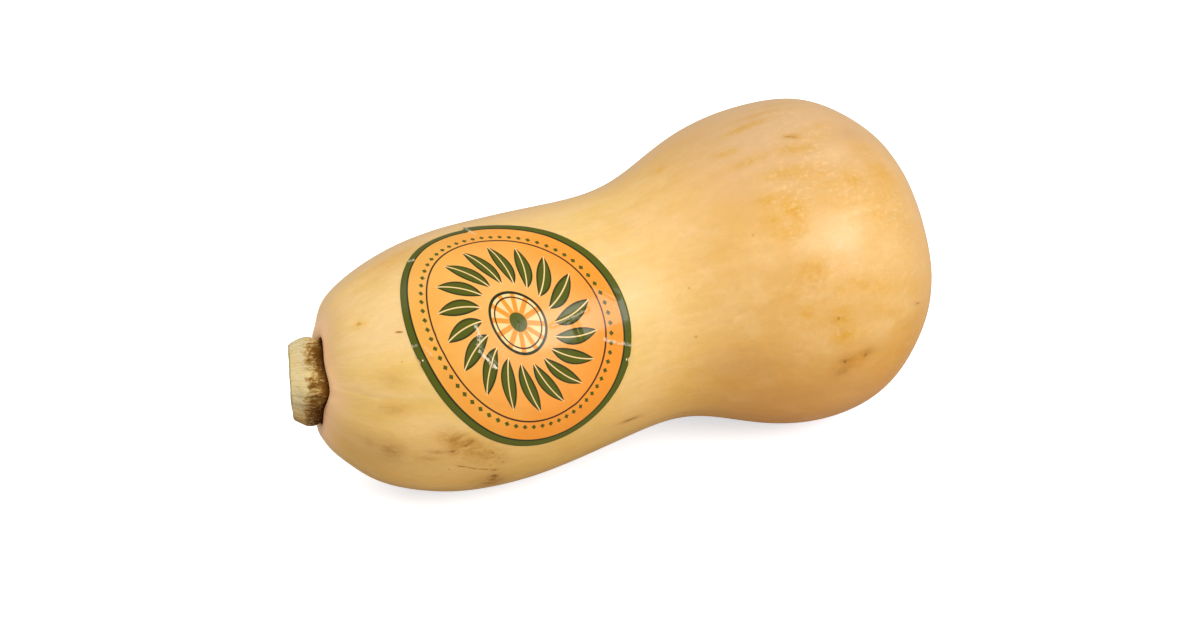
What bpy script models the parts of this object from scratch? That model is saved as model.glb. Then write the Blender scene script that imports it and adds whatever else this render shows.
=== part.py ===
"""A butternut squash lying on its side, with its cut stem and an oval paper sticker.

Metres, +Z up. The long axis runs along X: the stem points to -X, the blossom end to +X.
The origin is the middle of the bottom of the whole object.
Each piece is shaped in the fruit's own frame, where X is the distance from the stem end,
and an empty then lays them all down the way the fruit rests.
"""

import math

import bmesh
import bpy
from mathutils import Matrix, Vector

MM = 0.001

# Fruit: control points of its profile, as distance from the stem end and radius
PROFILE_MM = (
    (-1.2, 0.0),
    (-1.6, 15.4),
    (0.6, 22.9),
    (6.7, 30.4),
    (17.5, 37.8),
    (37.3, 44.2),
    (59.9, 44.9),
    (83.7, 42.5),
    (108.3, 40.1),
    (124.4, 44.3),
    (144.3, 53.9),
    (166.9, 56.8),
    (185.9, 53.4),
    (201.0, 40.6),
    (209.1, 28.5),
    (211.9, 9.0),
    (209.9, 0.0),
)
STEPS_PER_SPAN = 3
FRUIT_SIDES = 56

# The stem end curls a little back and up, and its flat turns the same way, the seat most of all
CURL_DIRECTION = Vector((0.0, 0.552, 0.834))
CURL_SHIFT = 6.7 * MM
CURL_REACH = 15.1 * MM
TURN_SLOPE = 0.138
TURN_REACH = 30.0 * MM
SEAT_SLOPE = 0.124
SEAT_REACH = 8.0 * MM
SEAT_INNER = 16.0 * MM
SEAT_OUTER = 32.0 * MM

# Sideways bows of the axis towards -Y: shift, station and reach of each
BOWS_MM = (
    (1.23, 58.8, 30.4),
    (-1.84, 126.3, 22.2),
)

# Low relief: ribs that run out from the stem, and broad lobes on the bulb
RIB_COUNT = 10
RIB_HEIGHT = 0.45 * MM
RIB_STATION = 13.0 * MM
RIB_REACH = 20.0 * MM
LOBE_COUNT = 5
LOBE_HEIGHT = 0.55 * MM
LOBE_STATION = 172.0 * MM
LOBE_REACH = 34.0 * MM
LOBE_PHASE = math.radians(20.0)

# How it lies: the blossom end is higher, on two small flats worn by its own weight
REST_TILT = math.radians(5.52)
FLAT_DEPTH = 0.45 * MM

# Stem: five-angled, widest where it meets the fruit, cut off short at a slant
STEM_PROFILE_MM = (
    (0.0, 12.6),
    (1.5, 13.9),
    (4.0, 13.9),
    (6.4, 13.1),
    (8.2, 12.0),
)
STEM_LENGTH = 8.6 * MM
STEM_STEPS_PER_SPAN = 2
STEM_SIDES = 40
STEM_SEAT = -1.4 * MM
STEM_RIDGES = 5
STEM_RIDGE_HEIGHT = 1.0 * MM
STEM_RIDGE_ANGLE = math.radians(157.0)
SEAT_RING_SHARE = 0.5
CUT_EDGE = 0.5 * MM
CUT_SLOPE = 0.2
CUT_LONG_SIDE = Vector((0.0, -0.707, 0.707))
PITH_RADIUS = 4.6 * MM
PITH_DEPTH = 1.6 * MM
PITH_FLOOR_SHARE = 0.6

# Sticker: a slightly egg-shaped oval on the neck, turned a little against the fruit's axis
STICKER_STATION = 59.9 * MM
STICKER_ANGLE = math.radians(133.6)
STICKER_HALF_WIDTH = 35.1 * MM
STICKER_HALF_HEIGHT = 46.2 * MM
STICKER_TURN = math.radians(-17.2)
STICKER_EGG = 0.018
STICKER_EGG_TURN = math.radians(34.4)
STICKER_THICKNESS = 0.3 * MM
STICKER_RINGS = 7
STICKER_SIDES = 40
NECK_RADIUS = 44.2 * MM

# Clearance between pieces that touch
GAP = 0.3 * MM

MERGE_DISTANCE = 0.00001
SHARP_ANGLE = math.radians(40.0)

# Finish of each piece: colour and roughness
SKIN_COLOUR = (0.85, 0.52, 0.19)
SKIN_ROUGHNESS = 0.42
STEM_COLOUR = (0.42, 0.31, 0.13)
STEM_ROUGHNESS = 0.75
PAPER_COLOUR = (0.95, 0.36, 0.07)
PAPER_ROUGHNESS = 0.35


def clear_scene():
    for thing in list(bpy.data.objects):
        bpy.data.objects.remove(thing, do_unlink=True)


def material(name, colour, roughness):
    made = bpy.data.materials.new(name)
    made.use_nodes = True
    shader = made.node_tree.nodes["Principled BSDF"]
    shader.inputs["Base Color"].default_value = (*colour, 1.0)
    shader.inputs["Roughness"].default_value = roughness
    shader.inputs["Metallic"].default_value = 0.0
    return made


def curve_point(four, t):
    """A point of the cubic B-spline that these four control points steer, t from 0 to 1."""
    weights = (
        (1 - t) ** 3 / 6,
        (3 * t**3 - 6 * t**2 + 4) / 6,
        (-3 * t**3 + 3 * t**2 + 3 * t + 1) / 6,
        t**3 / 6,
    )
    return [sum(w * p[k] for w, p in zip(weights, four)) for k in range(2)]


def smooth_profile(controls, steps):
    """(station, radius) points of the smooth curve that the control points steer."""
    points = []
    for i in range(len(controls) - 3):
        four = controls[i : i + 4]
        points += [curve_point(four, step / steps) for step in range(steps)]
    points.append(curve_point(controls[-4:], 1.0))
    return [(station * MM, radius * MM) for station, radius in points]


def fruit_profile(steps):
    """The fruit's profile from pole to pole. Mirrored end points make it cross the axis squarely."""
    mirrored_start = (PROFILE_MM[1][0], -PROFILE_MM[1][1])
    mirrored_end = (PROFILE_MM[-2][0], -PROFILE_MM[-2][1])
    points = smooth_profile((mirrored_start, *PROFILE_MM, mirrored_end), steps)
    points[0] = (points[0][0], 0.0)
    points[-1] = (points[-1][0], 0.0)
    return points


def stem_profile():
    """The stem's profile: seat, flank, cut edge and the hollow pith. Stations run to -X."""
    first, last = STEM_PROFILE_MM[0], STEM_PROFILE_MM[-1]
    flank = smooth_profile((first, first, *STEM_PROFILE_MM, last, last), STEM_STEPS_PER_SPAN)
    rim = flank[-1][1]
    end_face = [
        (STEM_LENGTH, rim - CUT_EDGE),
        (STEM_LENGTH, PITH_RADIUS),
        (STEM_LENGTH - PITH_DEPTH, PITH_RADIUS * PITH_FLOOR_SHARE),
        (STEM_LENGTH - PITH_DEPTH, 0.0),
    ]
    seat = [(0.0, 0.0), (0.0, flank[0][1] * SEAT_RING_SHARE)]
    return [(STEM_SEAT - GAP - along, radius) for along, radius in seat + flank + end_face]


def turned(profile, sides):
    """A bmesh turned round X from a profile of (station, radius)."""
    bm = bmesh.new()
    line = [bm.verts.new((station, radius, 0.0)) for station, radius in profile]
    edges = [bm.edges.new(pair) for pair in zip(line, line[1:])]
    bmesh.ops.spin(
        bm,
        geom=line + edges,
        cent=(0.0, 0.0, 0.0),
        axis=(1.0, 0.0, 0.0),
        angle=math.tau,
        steps=sides,
        use_merge=True,
    )
    bmesh.ops.remove_doubles(bm, verts=bm.verts, dist=MERGE_DISTANCE)
    bmesh.ops.recalc_face_normals(bm, faces=bm.faces)
    return bm


def bump(distance, reach):
    return math.exp(-((distance / reach) ** 2))


def fruit_relief(station, angle):
    """How far the skin stands out from the turned profile."""
    ribs = RIB_HEIGHT * bump(station - RIB_STATION, RIB_REACH) * math.cos(RIB_COUNT * angle)
    turned_angle = LOBE_COUNT * (angle - LOBE_PHASE)
    lobes = LOBE_HEIGHT * bump(station - LOBE_STATION, LOBE_REACH) * math.cos(turned_angle)
    return ribs + lobes


def smooth_share(value, low, high):
    """Runs smoothly from 0 to 1 as the value goes from low to high."""
    share = min(max((value - low) / (high - low), 0.0), 1.0)
    return share * share * (3.0 - 2.0 * share)


def curled(point):
    """Moves a point of the straight fruit to where the curl and the bows of its axis take it."""
    station = max(point.x, 0.0)
    beyond = max(-point.x, 0.0)
    across = point.dot(CURL_DIRECTION)
    near_seat = smooth_share(math.hypot(point.y, point.z), SEAT_OUTER, SEAT_INNER)
    turn = TURN_SLOPE * bump(station, TURN_REACH)
    seat = SEAT_SLOPE * bump(station, SEAT_REACH)
    shift = CURL_SHIFT * math.exp(-station / CURL_REACH) + (turn + seat) * beyond
    bow = sum(amount * MM * bump(point.x - middle * MM, reach * MM) for amount, middle, reach in BOWS_MM)
    return point + Vector(((turn + seat * near_seat) * across, -bow, 0.0)) + CURL_DIRECTION * shift


def polar(station, radius, angle):
    return Vector((station, radius * math.cos(angle), radius * math.sin(angle)))


def add_object(name, bm, finish, parent):
    mesh = bpy.data.meshes.new(name)
    bm.to_mesh(mesh)
    bm.free()
    mesh.materials.append(finish)
    mesh.shade_smooth()
    mesh.set_sharp_from_angle(angle=SHARP_ANGLE)
    made = bpy.data.objects.new(name, mesh)
    bpy.context.scene.collection.objects.link(made)
    made.parent = parent
    return made


def cut_flats(bm):
    """Cuts the underside flat where the tilted fruit would touch a table."""
    down = Matrix.Rotation(REST_TILT, 3, "Y") @ Vector((0.0, 0.0, -1.0))
    lowest = max(vertex.co.dot(down) for vertex in bm.verts)
    bmesh.ops.bisect_plane(
        bm,
        geom=bm.verts[:] + bm.edges[:] + bm.faces[:],
        plane_co=down * (lowest - FLAT_DEPTH),
        plane_no=down,
        clear_outer=True,
    )
    open_edges = [edge for edge in bm.edges if edge.is_boundary]
    bmesh.ops.holes_fill(bm, edges=open_edges)
    bmesh.ops.recalc_face_normals(bm, faces=bm.faces)


def make_fruit(parent):
    bm = turned(fruit_profile(STEPS_PER_SPAN), FRUIT_SIDES)
    for vertex in bm.verts:
        radius = math.hypot(vertex.co.y, vertex.co.z)
        if radius > MERGE_DISTANCE:
            angle = math.atan2(vertex.co.z, vertex.co.y)
            share = min(radius / NECK_RADIUS, 1.0)
            radius += fruit_relief(vertex.co.x, angle) * share
            vertex.co = polar(vertex.co.x, radius, angle)
        vertex.co = curled(vertex.co)
    cut_flats(bm)
    return add_object("fruit", bm, material("skin", SKIN_COLOUR, SKIN_ROUGHNESS), parent)


def slanted(point):
    """Lengthens the stem on one side and shortens it on the other, most at its cut end."""
    along = (STEM_SEAT - GAP - point.x) / STEM_LENGTH
    return point - Vector((along * CUT_SLOPE * point.dot(CUT_LONG_SIDE), 0.0, 0.0))


def make_stem(parent):
    bm = turned(stem_profile(), STEM_SIDES)
    widest = max(radius for _, radius in stem_profile())
    for vertex in bm.verts:
        radius = math.hypot(vertex.co.y, vertex.co.z)
        if radius > MERGE_DISTANCE:
            angle = math.atan2(vertex.co.z, vertex.co.y)
            ridge = math.cos(STEM_RIDGES * (angle - STEM_RIDGE_ANGLE))
            radius += STEM_RIDGE_HEIGHT * ridge * (radius / widest) ** 2
            vertex.co = polar(vertex.co.x, radius, angle)
        vertex.co = curled(slanted(vertex.co))
    return add_object("stem", bm, material("stem_wood", STEM_COLOUR, STEM_ROUGHNESS), parent)


def radius_at(profile, station):
    """The profile's radius at a station, between its nearest two points."""
    for (near, near_radius), (far, far_radius) in zip(profile, profile[1:]):
        if near <= station <= far:
            share = (station - near) / (far - near)
            return near_radius + share * (far_radius - near_radius)
    raise ValueError("the sticker runs off the fruit")


def sticker_point(profile, out, angle):
    """A point of the sticker's underside: out is 0 in the middle and 1 at the rim."""
    egg = 1.0 + STICKER_EGG * math.cos(3.0 * angle - STICKER_EGG_TURN)
    width = STICKER_HALF_WIDTH * out * egg * math.cos(angle)
    height = STICKER_HALF_HEIGHT * out * egg * math.sin(angle)
    along = width * math.cos(STICKER_TURN) - height * math.sin(STICKER_TURN)
    round_neck = width * math.sin(STICKER_TURN) + height * math.cos(STICKER_TURN)
    station = STICKER_STATION + along
    place = STICKER_ANGLE + round_neck / NECK_RADIUS
    radius = radius_at(profile, station) + fruit_relief(station, place) + GAP
    return curled(polar(station, radius, place))


def make_sticker(parent):
    profile = fruit_profile(STEPS_PER_SPAN)
    bm = bmesh.new()
    middle = bm.verts.new(sticker_point(profile, 0.0, 0.0))
    rings = []
    for ring in range(1, STICKER_RINGS + 1):
        angles = [math.tau * side / STICKER_SIDES for side in range(STICKER_SIDES)]
        out = ring / STICKER_RINGS
        rings.append([bm.verts.new(sticker_point(profile, out, angle)) for angle in angles])
    for side in range(STICKER_SIDES):
        after = (side + 1) % STICKER_SIDES
        bm.faces.new((middle, rings[0][after], rings[0][side]))
        for inner, outer in zip(rings, rings[1:]):
            bm.faces.new((inner[side], inner[after], outer[after], outer[side]))
    finish = material("sticker_paper", PAPER_COLOUR, PAPER_ROUGHNESS)
    made = add_object("sticker", bm, finish, parent)
    solidify = made.modifiers.new("thickness", "SOLIDIFY")
    solidify.thickness = STICKER_THICKNESS
    solidify.offset = 1.0
    return made


def centre_on_origin(rest, pieces):
    """Moves the empty so that the middle of the bottom of all the pieces is the origin."""
    bpy.context.view_layer.update()
    corners = [piece.matrix_world @ v.co for piece in pieces for v in piece.data.vertices]
    lowest = [min(corner[axis] for corner in corners) for axis in range(3)]
    highest = [max(corner[axis] for corner in corners) for axis in range(3)]
    middle = [(low + high) / 2 for low, high in zip(lowest, highest)]
    rest.location -= Vector((middle[0], middle[1], lowest[2]))


def main():
    clear_scene()
    rest = bpy.data.objects.new("squash_rest", None)
    bpy.context.scene.collection.objects.link(rest)
    rest.rotation_euler = (0.0, -REST_TILT, 0.0)
    pieces = [make_fruit(rest), make_stem(rest), make_sticker(rest)]
    centre_on_origin(rest, pieces)


main()
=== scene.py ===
"""The looks of a butternut squash lying on its side: its skin, its woody stem and an oval paper sticker.

The forms are worked out in the fruit's own frame, in millimetres: X is the distance from the stem
end, and angles run round it from +Y towards +Z. Each piece is then laid down where the frame has it.
"""

import math

import bpy
import numpy as np
from mathutils import Matrix, Vector, noise


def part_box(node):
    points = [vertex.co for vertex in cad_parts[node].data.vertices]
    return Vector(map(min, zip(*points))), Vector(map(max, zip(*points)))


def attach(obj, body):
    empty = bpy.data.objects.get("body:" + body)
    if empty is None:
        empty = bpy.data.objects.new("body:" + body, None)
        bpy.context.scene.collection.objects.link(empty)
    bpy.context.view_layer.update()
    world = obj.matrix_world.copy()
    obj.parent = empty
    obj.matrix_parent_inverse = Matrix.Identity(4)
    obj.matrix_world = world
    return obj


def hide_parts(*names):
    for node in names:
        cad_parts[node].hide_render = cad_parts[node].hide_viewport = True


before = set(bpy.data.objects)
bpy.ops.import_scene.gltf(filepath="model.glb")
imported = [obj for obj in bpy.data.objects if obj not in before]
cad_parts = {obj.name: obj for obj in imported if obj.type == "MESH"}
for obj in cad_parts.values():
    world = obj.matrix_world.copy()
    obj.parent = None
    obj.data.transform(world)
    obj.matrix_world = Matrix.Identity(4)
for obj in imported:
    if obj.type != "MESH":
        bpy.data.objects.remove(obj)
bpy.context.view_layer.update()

MM = 0.001

# Fruit: control points of its profile, as distance from the stem end and radius
PROFILE = (
    (-1.2, 0.0),
    (-1.6, 15.4),
    (0.6, 22.9),
    (6.7, 30.4),
    (17.5, 37.8),
    (37.3, 44.2),
    (59.9, 44.9),
    (83.7, 42.5),
    (108.3, 40.1),
    (124.4, 44.3),
    (144.3, 53.9),
    (166.9, 56.8),
    (185.9, 53.4),
    (201.0, 40.6),
    (209.1, 28.5),
    (211.9, 9.0),
    (209.9, 0.0),
)
SOLID_STEPS = 3
SOLID_SIDES = 56
FINE_STEPS = 60
NECK_RADIUS = 44.2

# The curl of the stem end, with its seat turned most of all
CURL_DIRECTION = np.array((0.0, 0.552, 0.834))
CURL_SHIFT = 6.7
CURL_REACH = 15.1
TURN_SLOPE = 0.138
TURN_REACH = 30.0
SEAT_SLOPE = 0.124
SEAT_REACH = 8.0
SEAT_INNER = 16.0
SEAT_OUTER = 32.0

# Sideways bows of the axis towards -Y: shift, station and reach of each
BOWS = (
    (1.23, 58.8, 30.4),
    (-1.84, 126.3, 22.2),
)

# How the whole fruit lies
REST_TILT = math.radians(5.52)

# Low relief of the solids: ribs out from the stem, broad lobes on the bulb
RIB_COUNT = 10
RIB_HEIGHT = 0.45
RIB_STATION = 13.0
RIB_REACH = 20.0
LOBE_COUNT = 5
LOBE_HEIGHT = 0.55
LOBE_STATION = 172.0
LOBE_REACH = 34.0
LOBE_PHASE = math.radians(20.0)

# Finer relief of the skin: height, size, stretch along the fruit and seed of each layer
SKIN_RELIEF = (
    (0.45, 40.0, 1.0, 0.0),
    (0.16, 17.0, 1.0, 3.0),
    (0.16, 9.0, 9.0, 7.0),
)

# Single soft lumps and dents: station, angle in degrees, reach and height
SOFT_LUMPS = (
    (205, 150, 14, -0.8),
    (152, 205, 16, -0.6),
    (180, 85, 14, 0.45),
    (134, 73, 13, -0.5),
    (200, 113, 11, 0.7),
    (182, 205, 11, 0.6),
    (203, 163, 9, -0.4),
)

# Groove that runs on from one ridge of the stem
GROOVE_START = math.radians(151.0)
GROOVE_TURN = math.radians(0.38)
GROOVE_DEPTH = 0.35
GROOVE_WIDTH = 1.4
GROOVE_MIDDLE = 8.0
GROOVE_REACH = 12.0

# Crease and swelling round the stem, and the scar at the blossom end
STEM_END = 10.0
BY_STEM_REACH = 8.0
CREASE_DEPTH = 0.4
CREASE_WIDTH = 0.6
SWELL_HEIGHT = 0.5
SWELL_PLACE = 3.6
SWELL_WIDTH = 2.4
SWELL_PATCH = 6.0
SCAR_RADIUS = 4.2
SCAR_DEPTH = 0.9
BULB_END = 205.0
FAR_AWAY = 99.0

# Fruit mesh: fine rings by the stem, wider ones after
FRUIT_SIDES = 376
NEAR_STEM = 34.0
FINE_RING = 0.62
WIDE_RING = 1.36

# Stem: five-angled and corky, with a hollow pith in its cut end
STEM_PROFILE = (
    (0.0, 13.2),
    (1.5, 14.1),
    (4.0, 14.2),
    (6.4, 13.1),
    (8.2, 12.0),
)
STEM_LENGTH = 8.6
STEM_SEAT = -1.7
STEM_SKIRT = 1.3
SKIRT_INSET = 2.0
STEM_RADIUS = 13.3
STEM_RIDGES = 5
STEM_RIDGE_HEIGHT = 1.0
STEM_RIDGE_ANGLE = math.radians(157.0)
VALLEY_DEPTH = 0.8
VALLEY_WIDTH = 0.35
VALLEY_MIDDLE = 3.0
VALLEY_REACH = 8.0
FOOT_SPREAD = 2.6
FOOT_WIDTH = 0.32
FOOT_REACH = 2.2
FOOT_SINK = 0.45
UNDERSIDE_ANGLE = 3.75
UNDERSIDE_WIDTH = 0.6
STEM_SIDES = 260
STEM_RING = 0.32
CUT_EDGE = 0.5
CUT_INNER = 12.0
CUT_SLOPE = 0.2
CUT_LONG_SIDE = np.array((0.0, -0.707, 0.707))
PITH_RADIUS = 4.6
PITH_DEPTH = 1.6

# Relief of the stem's bark and of its cut end: height, size, stretch along the stem and seed
STEM_BARK = (
    (0.20, 1.5, 8.0, 0.0),
    (0.12, 0.8, 6.0, 2.0),
    (0.90, 6.0, 1.2, 4.0),
    (0.42, 2.4, 1.0, 6.0),
)
CUT_GRAIN = (
    (0.12, 1.1, 1.0, 8.0),
    (0.25, 4.0, 1.0, 9.0),
)

# Sticker: a slightly egg-shaped oval on the neck
STICKER_STATION = 59.7
STICKER_ANGLE = math.radians(133.6)
STICKER_HALF_WIDTH = 35.35
STICKER_HALF_HEIGHT = 46.2
STICKER_TURN = math.radians(-17.2)
STICKER_EGG = 0.018
STICKER_EGG_TURN = math.radians(34.4)
STICKER_LIFT = 0.08
STICKER_THICKNESS = 0.12
STICKER_WAVE = 0.05
STICKER_WAVE_SIZE = 7.0
STICKER_SIDES = 480
STICKER_RINGS = 72

# Camera, from the way the fruit lies in the picture
CAMERA_AZIMUTH = math.radians(-20.952)
CAMERA_ELEVATION = math.radians(35.0)
CAMERA_AIM = np.array((113.85, 0.0, 7.14))
CAMERA_SHIFT_RIGHT = -15.96 * MM
CAMERA_SHIFT_UP = -1.10 * MM
CAMERA_DISTANCE = 1.138
CAMERA_LENS = 100.0
SENSOR_WIDTH = 36.0

# Light: a pale surround and soft sources, each with its direction as seen by the camera
# (right, up, backward), its width, its height and its power
SOFT_LIGHTS = (
    ("key", (0.55, 0.20, 0.80), 0.4, 0.8, 13.0),
    ("fill", (-0.65, 0.75, 0.3), 1.1, 1.1, 5.0),
)
LIGHT_DISTANCE = 1.6
SURROUND = 0.80
MIRRORED_SURROUND = 0.30
FLOOR_SIZE = 8.0

ALONG = np.array((1.0, 0.0, 0.0))
SIDEWAYS = np.array((0.0, 1.0, 0.0))


def bump(distance, reach):
    return np.exp(-((distance / reach) ** 2))


def noise_at(places, size, seed=0.0):
    """Smooth noise from about -1 to 1, with features about this many millimetres across."""
    shift = Vector((seed, seed, seed))
    return np.array([noise.noise(Vector(place) / size + shift) for place in places])


def noise_relief(places, layers):
    """Layers of noise together: height, size, stretch along the first axis and seed of each."""
    total = np.zeros(len(places))
    for height, size, stretch, seed in layers:
        total += height * noise_at(places / (stretch, 1.0, 1.0), size, seed)
    return total


def angle_past(angle, start):
    """How far angles lie past another, from minus half a turn to half a turn."""
    return np.remainder(angle - start + math.pi, math.tau) - math.pi


def smooth_curve(controls, steps):
    """Points of the cubic B-spline that the control points steer."""
    controls = np.array(controls, float)
    t = np.arange(steps)[:, None] / steps
    weights = (
        (1 - t) ** 3 / 6,
        (3 * t**3 - 6 * t**2 + 4) / 6,
        (-3 * t**3 + 3 * t**2 + 3 * t + 1) / 6,
        t**3 / 6,
    )
    spans = []
    for i in range(len(controls) - 3):
        spans.append(sum(w * p for w, p in zip(weights, controls[i : i + 4])))
    end = (controls[-3] + 4 * controls[-2] + controls[-1]) / 6
    return np.vstack([*spans, end])


def fruit_profile(steps):
    """(station, radius) from pole to pole. Mirrored end points make it cross the axis squarely."""
    before = (PROFILE[1][0], -PROFILE[1][1])
    after = (PROFILE[-2][0], -PROFILE[-2][1])
    points = smooth_curve((before, *PROFILE, after), steps)
    points[[0, -1], 1] = 0.0
    return points


def polar(station, radius, angle):
    return np.stack([station, radius * np.cos(angle), radius * np.sin(angle)], -1)


def skin_place(station, angle):
    """Where a point of the skin lies in the space of its patterns."""
    return polar(station, NECK_RADIUS, angle)


def solid_relief(station, angle):
    """The ribs and lobes that the solids have."""
    ribs = RIB_HEIGHT * bump(station - RIB_STATION, RIB_REACH) * np.cos(RIB_COUNT * angle)
    lobes = LOBE_HEIGHT * bump(station - LOBE_STATION, LOBE_REACH)
    return ribs + lobes * np.cos(LOBE_COUNT * (angle - LOBE_PHASE))


def fine_relief(station, angle):
    """Soft lumps, lengthwise furrows and the groove that runs on from one ridge of the stem."""
    relief = noise_relief(skin_place(station, angle), SKIN_RELIEF)
    for middle, degrees, reach, height in SOFT_LUMPS:
        around = angle_past(angle, math.radians(degrees)) * NECK_RADIUS
        relief += height * bump(station - middle, reach) * bump(around, reach)
    around = angle_past(angle, GROOVE_START + GROOVE_TURN * station) * NECK_RADIUS
    groove = GROOVE_DEPTH * bump(around, GROOVE_WIDTH) * bump(station - GROOVE_MIDDLE, GROOVE_REACH)
    return relief - groove


def smooth_share(value, low, high):
    """Runs smoothly from 0 to 1 as the value goes from low to high."""
    share = np.clip((value - low) / (high - low), 0.0, 1.0)
    return share * share * (3.0 - 2.0 * share)


def curled(points):
    """Moves points of the straight fruit to where the curl and the bows of its axis take them."""
    station = np.maximum(points[:, :1], 0.0)
    beyond = np.maximum(-points[:, :1], 0.0)
    across = (points @ CURL_DIRECTION)[:, None]
    from_axis = np.linalg.norm(points[:, 1:], axis=1, keepdims=True)
    near_seat = smooth_share(from_axis, SEAT_OUTER, SEAT_INNER)
    turn = TURN_SLOPE * bump(station, TURN_REACH)
    seat = SEAT_SLOPE * bump(station, SEAT_REACH)
    shift = CURL_SHIFT * np.exp(-station / CURL_REACH) + (turn + seat) * beyond
    bow = sum(amount * bump(points[:, :1] - middle, reach) for amount, middle, reach in BOWS)
    turned = points + (turn + seat * near_seat) * across * ALONG
    return turned - bow * SIDEWAYS + shift * CURL_DIRECTION


def tilted(points):
    turn = np.array(Matrix.Rotation(-REST_TILT, 3, "Y"))
    return points @ turn.T


def rest_place():
    """Where the fruit's own origin lies, from the solid form and the box that the frame gives for it."""
    profile = fruit_profile(SOLID_STEPS)
    angles = np.arange(SOLID_SIDES) * math.tau / SOLID_SIDES
    station = np.repeat(profile[:, 0], SOLID_SIDES)
    radius = np.repeat(profile[:, 1], SOLID_SIDES)
    angle = np.tile(angles, len(profile))
    share = np.minimum(radius / NECK_RADIUS, 1.0)
    solid = tilted(curled(polar(station, radius + solid_relief(station, angle) * share, angle)))
    low, high = (np.array(corner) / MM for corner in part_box("fruit"))
    held = (low[0], low[1], high[2])
    return np.array(held) - (solid[:, 0].min(), solid[:, 1].min(), solid[:, 2].max())


REST_PLACE = rest_place()


def laid_down(points):
    """Takes points from the fruit's own frame to where it rests, in metres."""
    placed = tilted(curled(points)) + REST_PLACE
    placed[:, 2] = np.maximum(placed[:, 2], 0.0)
    return placed * MM


def turned_mesh(name, points, sides, closed, flipped):
    """A mesh through a first pole, rings of points and, where closed, a last pole."""
    rings = (len(points) - 1 - closed) // sides
    grid = 1 + np.arange(rings * sides).reshape(rings, sides)
    after = np.roll(grid, -1, axis=1)
    quads = np.stack([grid[:-1], after[:-1], after[1:], grid[1:]], -1).reshape(-1, 4)
    first = np.stack([np.zeros(sides, int), after[0], grid[0]], -1)
    faces = [first, quads]
    if closed:
        last = np.full(sides, len(points) - 1)
        faces.append(np.stack([last, grid[-1], after[-1]], -1))
    if flipped:
        faces = [block[:, ::-1] for block in faces]
    mesh = bpy.data.meshes.new(name)
    mesh.from_pydata(points.tolist(), [], [face for block in faces for face in block.tolist()])
    mesh.shade_smooth()
    return mesh


def add_attribute(mesh, name, values):
    """Keeps a number or a vector at each point of a mesh, for its material to read."""
    kind = "FLOAT_VECTOR" if values.ndim == 2 else "FLOAT"
    slot = "vector" if values.ndim == 2 else "value"
    made = mesh.attributes.new(name, kind, "POINT")
    made.data.foreach_set(slot, values.astype(np.float32).ravel())


def add_object(name, data):
    made = bpy.data.objects.new(name, data)
    bpy.context.scene.collection.objects.link(made)
    return made


def add_piece(mesh, material, node):
    """Puts a mesh in the scene in place of one of the frame's nodes."""
    mesh.materials.append(material)
    piece = add_object(mesh.name, mesh)
    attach(piece, "root")
    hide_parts(node)
    return piece


def stem_ridge(angle):
    """1 on top of each ridge of the stem, -1 in the valleys between them."""
    return np.cos(STEM_RIDGES * (angle - STEM_RIDGE_ANGLE))


def ridge_foot(angle):
    """How far the foot of the ridge on the sticker's side spreads over the skin."""
    return FOOT_SPREAD * bump(angle - STEM_RIDGE_ANGLE, FOOT_WIDTH)


def stem_outline(angle):
    """How far the stem's foot reaches from its middle."""
    return STEM_RADIUS + STEM_RIDGE_HEIGHT * stem_ridge(angle) + ridge_foot(angle)


def spots_mask(station, angle, spots):
    """How strongly soft oval stains colour each point of the skin."""
    mask = np.zeros(len(station))
    for middle, degrees, half_length, half_width, slant, strength in spots:
        along = station - middle
        around = angle_past(angle, math.radians(degrees)) * NECK_RADIUS - along * slant
        stain = bump(along, half_length) * bump(around, half_width)
        mask = np.maximum(mask, strength * stain)
    return mask


# Stains on the skin: station, angle in degrees, half length, half width, slant, strength
BROWN_STAINS = (
    (30.7, 185, 2, 2.6, 0, 1),
    (32, 179.5, 5, 4.6, 0.4, 0.85),
    (36, 182, 3.4, 3, 0.4, 0.95),
    (37, 187.5, 7, 5.5, 0.5, 0.6),
    (42.5, 191, 5, 4.5, 0.6, 0.55),
    (26, 185.5, 3.4, 1.2, 0, 0.6),
    (24, 190, 5, 2.4, 0, 0.35),
    (15.5, 161.5, 4.5, 2.4, 0, 0.4),
    (13.5, 187.5, 3.4, 5.8, 0, 0.6),
    (8, 187, 1.4, 4, 0, 0.35),
    (16, 145, 5, 4, 0.3, 0.2),
    (43.4, 208.3, 1.5, 1.5, 0, 1),
    (43, 214, 4.5, 6, 0, 0.9),
    (38, 211, 4, 2.4, 0, 0.3),
    (42.8, 202.5, 1.3, 1.3, 0, 0.6),
    (91.5, 200.5, 4.5, 1.1, 0.1, 0.8),
    (168, 99, 3, 1, 0.25, 0.3),
    (164, 185.5, 3.4, 2, 0, 0.6),
    (171, 185, 3, 1.7, 0, 0.5),
    (162.5, 190, 4.4, 3, 0, 0.45),
    (162, 168, 3.6, 2.6, 0, 0.2),
    (194, 178, 2.6, 0.7, 0.8, 0.4),
)
# Soft darker patches, partly stains and partly painted shade: the broad ones low on the fruit's front
# side are painted shade
STAIN_AND_SHADE_PATCHES = (
    (128, 184, 17, 8, 0, 0.75),
    (146, 195, 18, 9, 0, 0.3),
    (130, 175, 9, 2.2, 0, 0.6),
    (8, 195, 9, 14, 0, 0.6),
    (154, 152, 11, 6, 0, 0.3),
    (106, 99, 14, 9, 0, 0.3),
    (30, 78, 16, 8, 0, 0.8),
    (190, 98, 7, 3, -0.4, 0.6),
)
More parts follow.
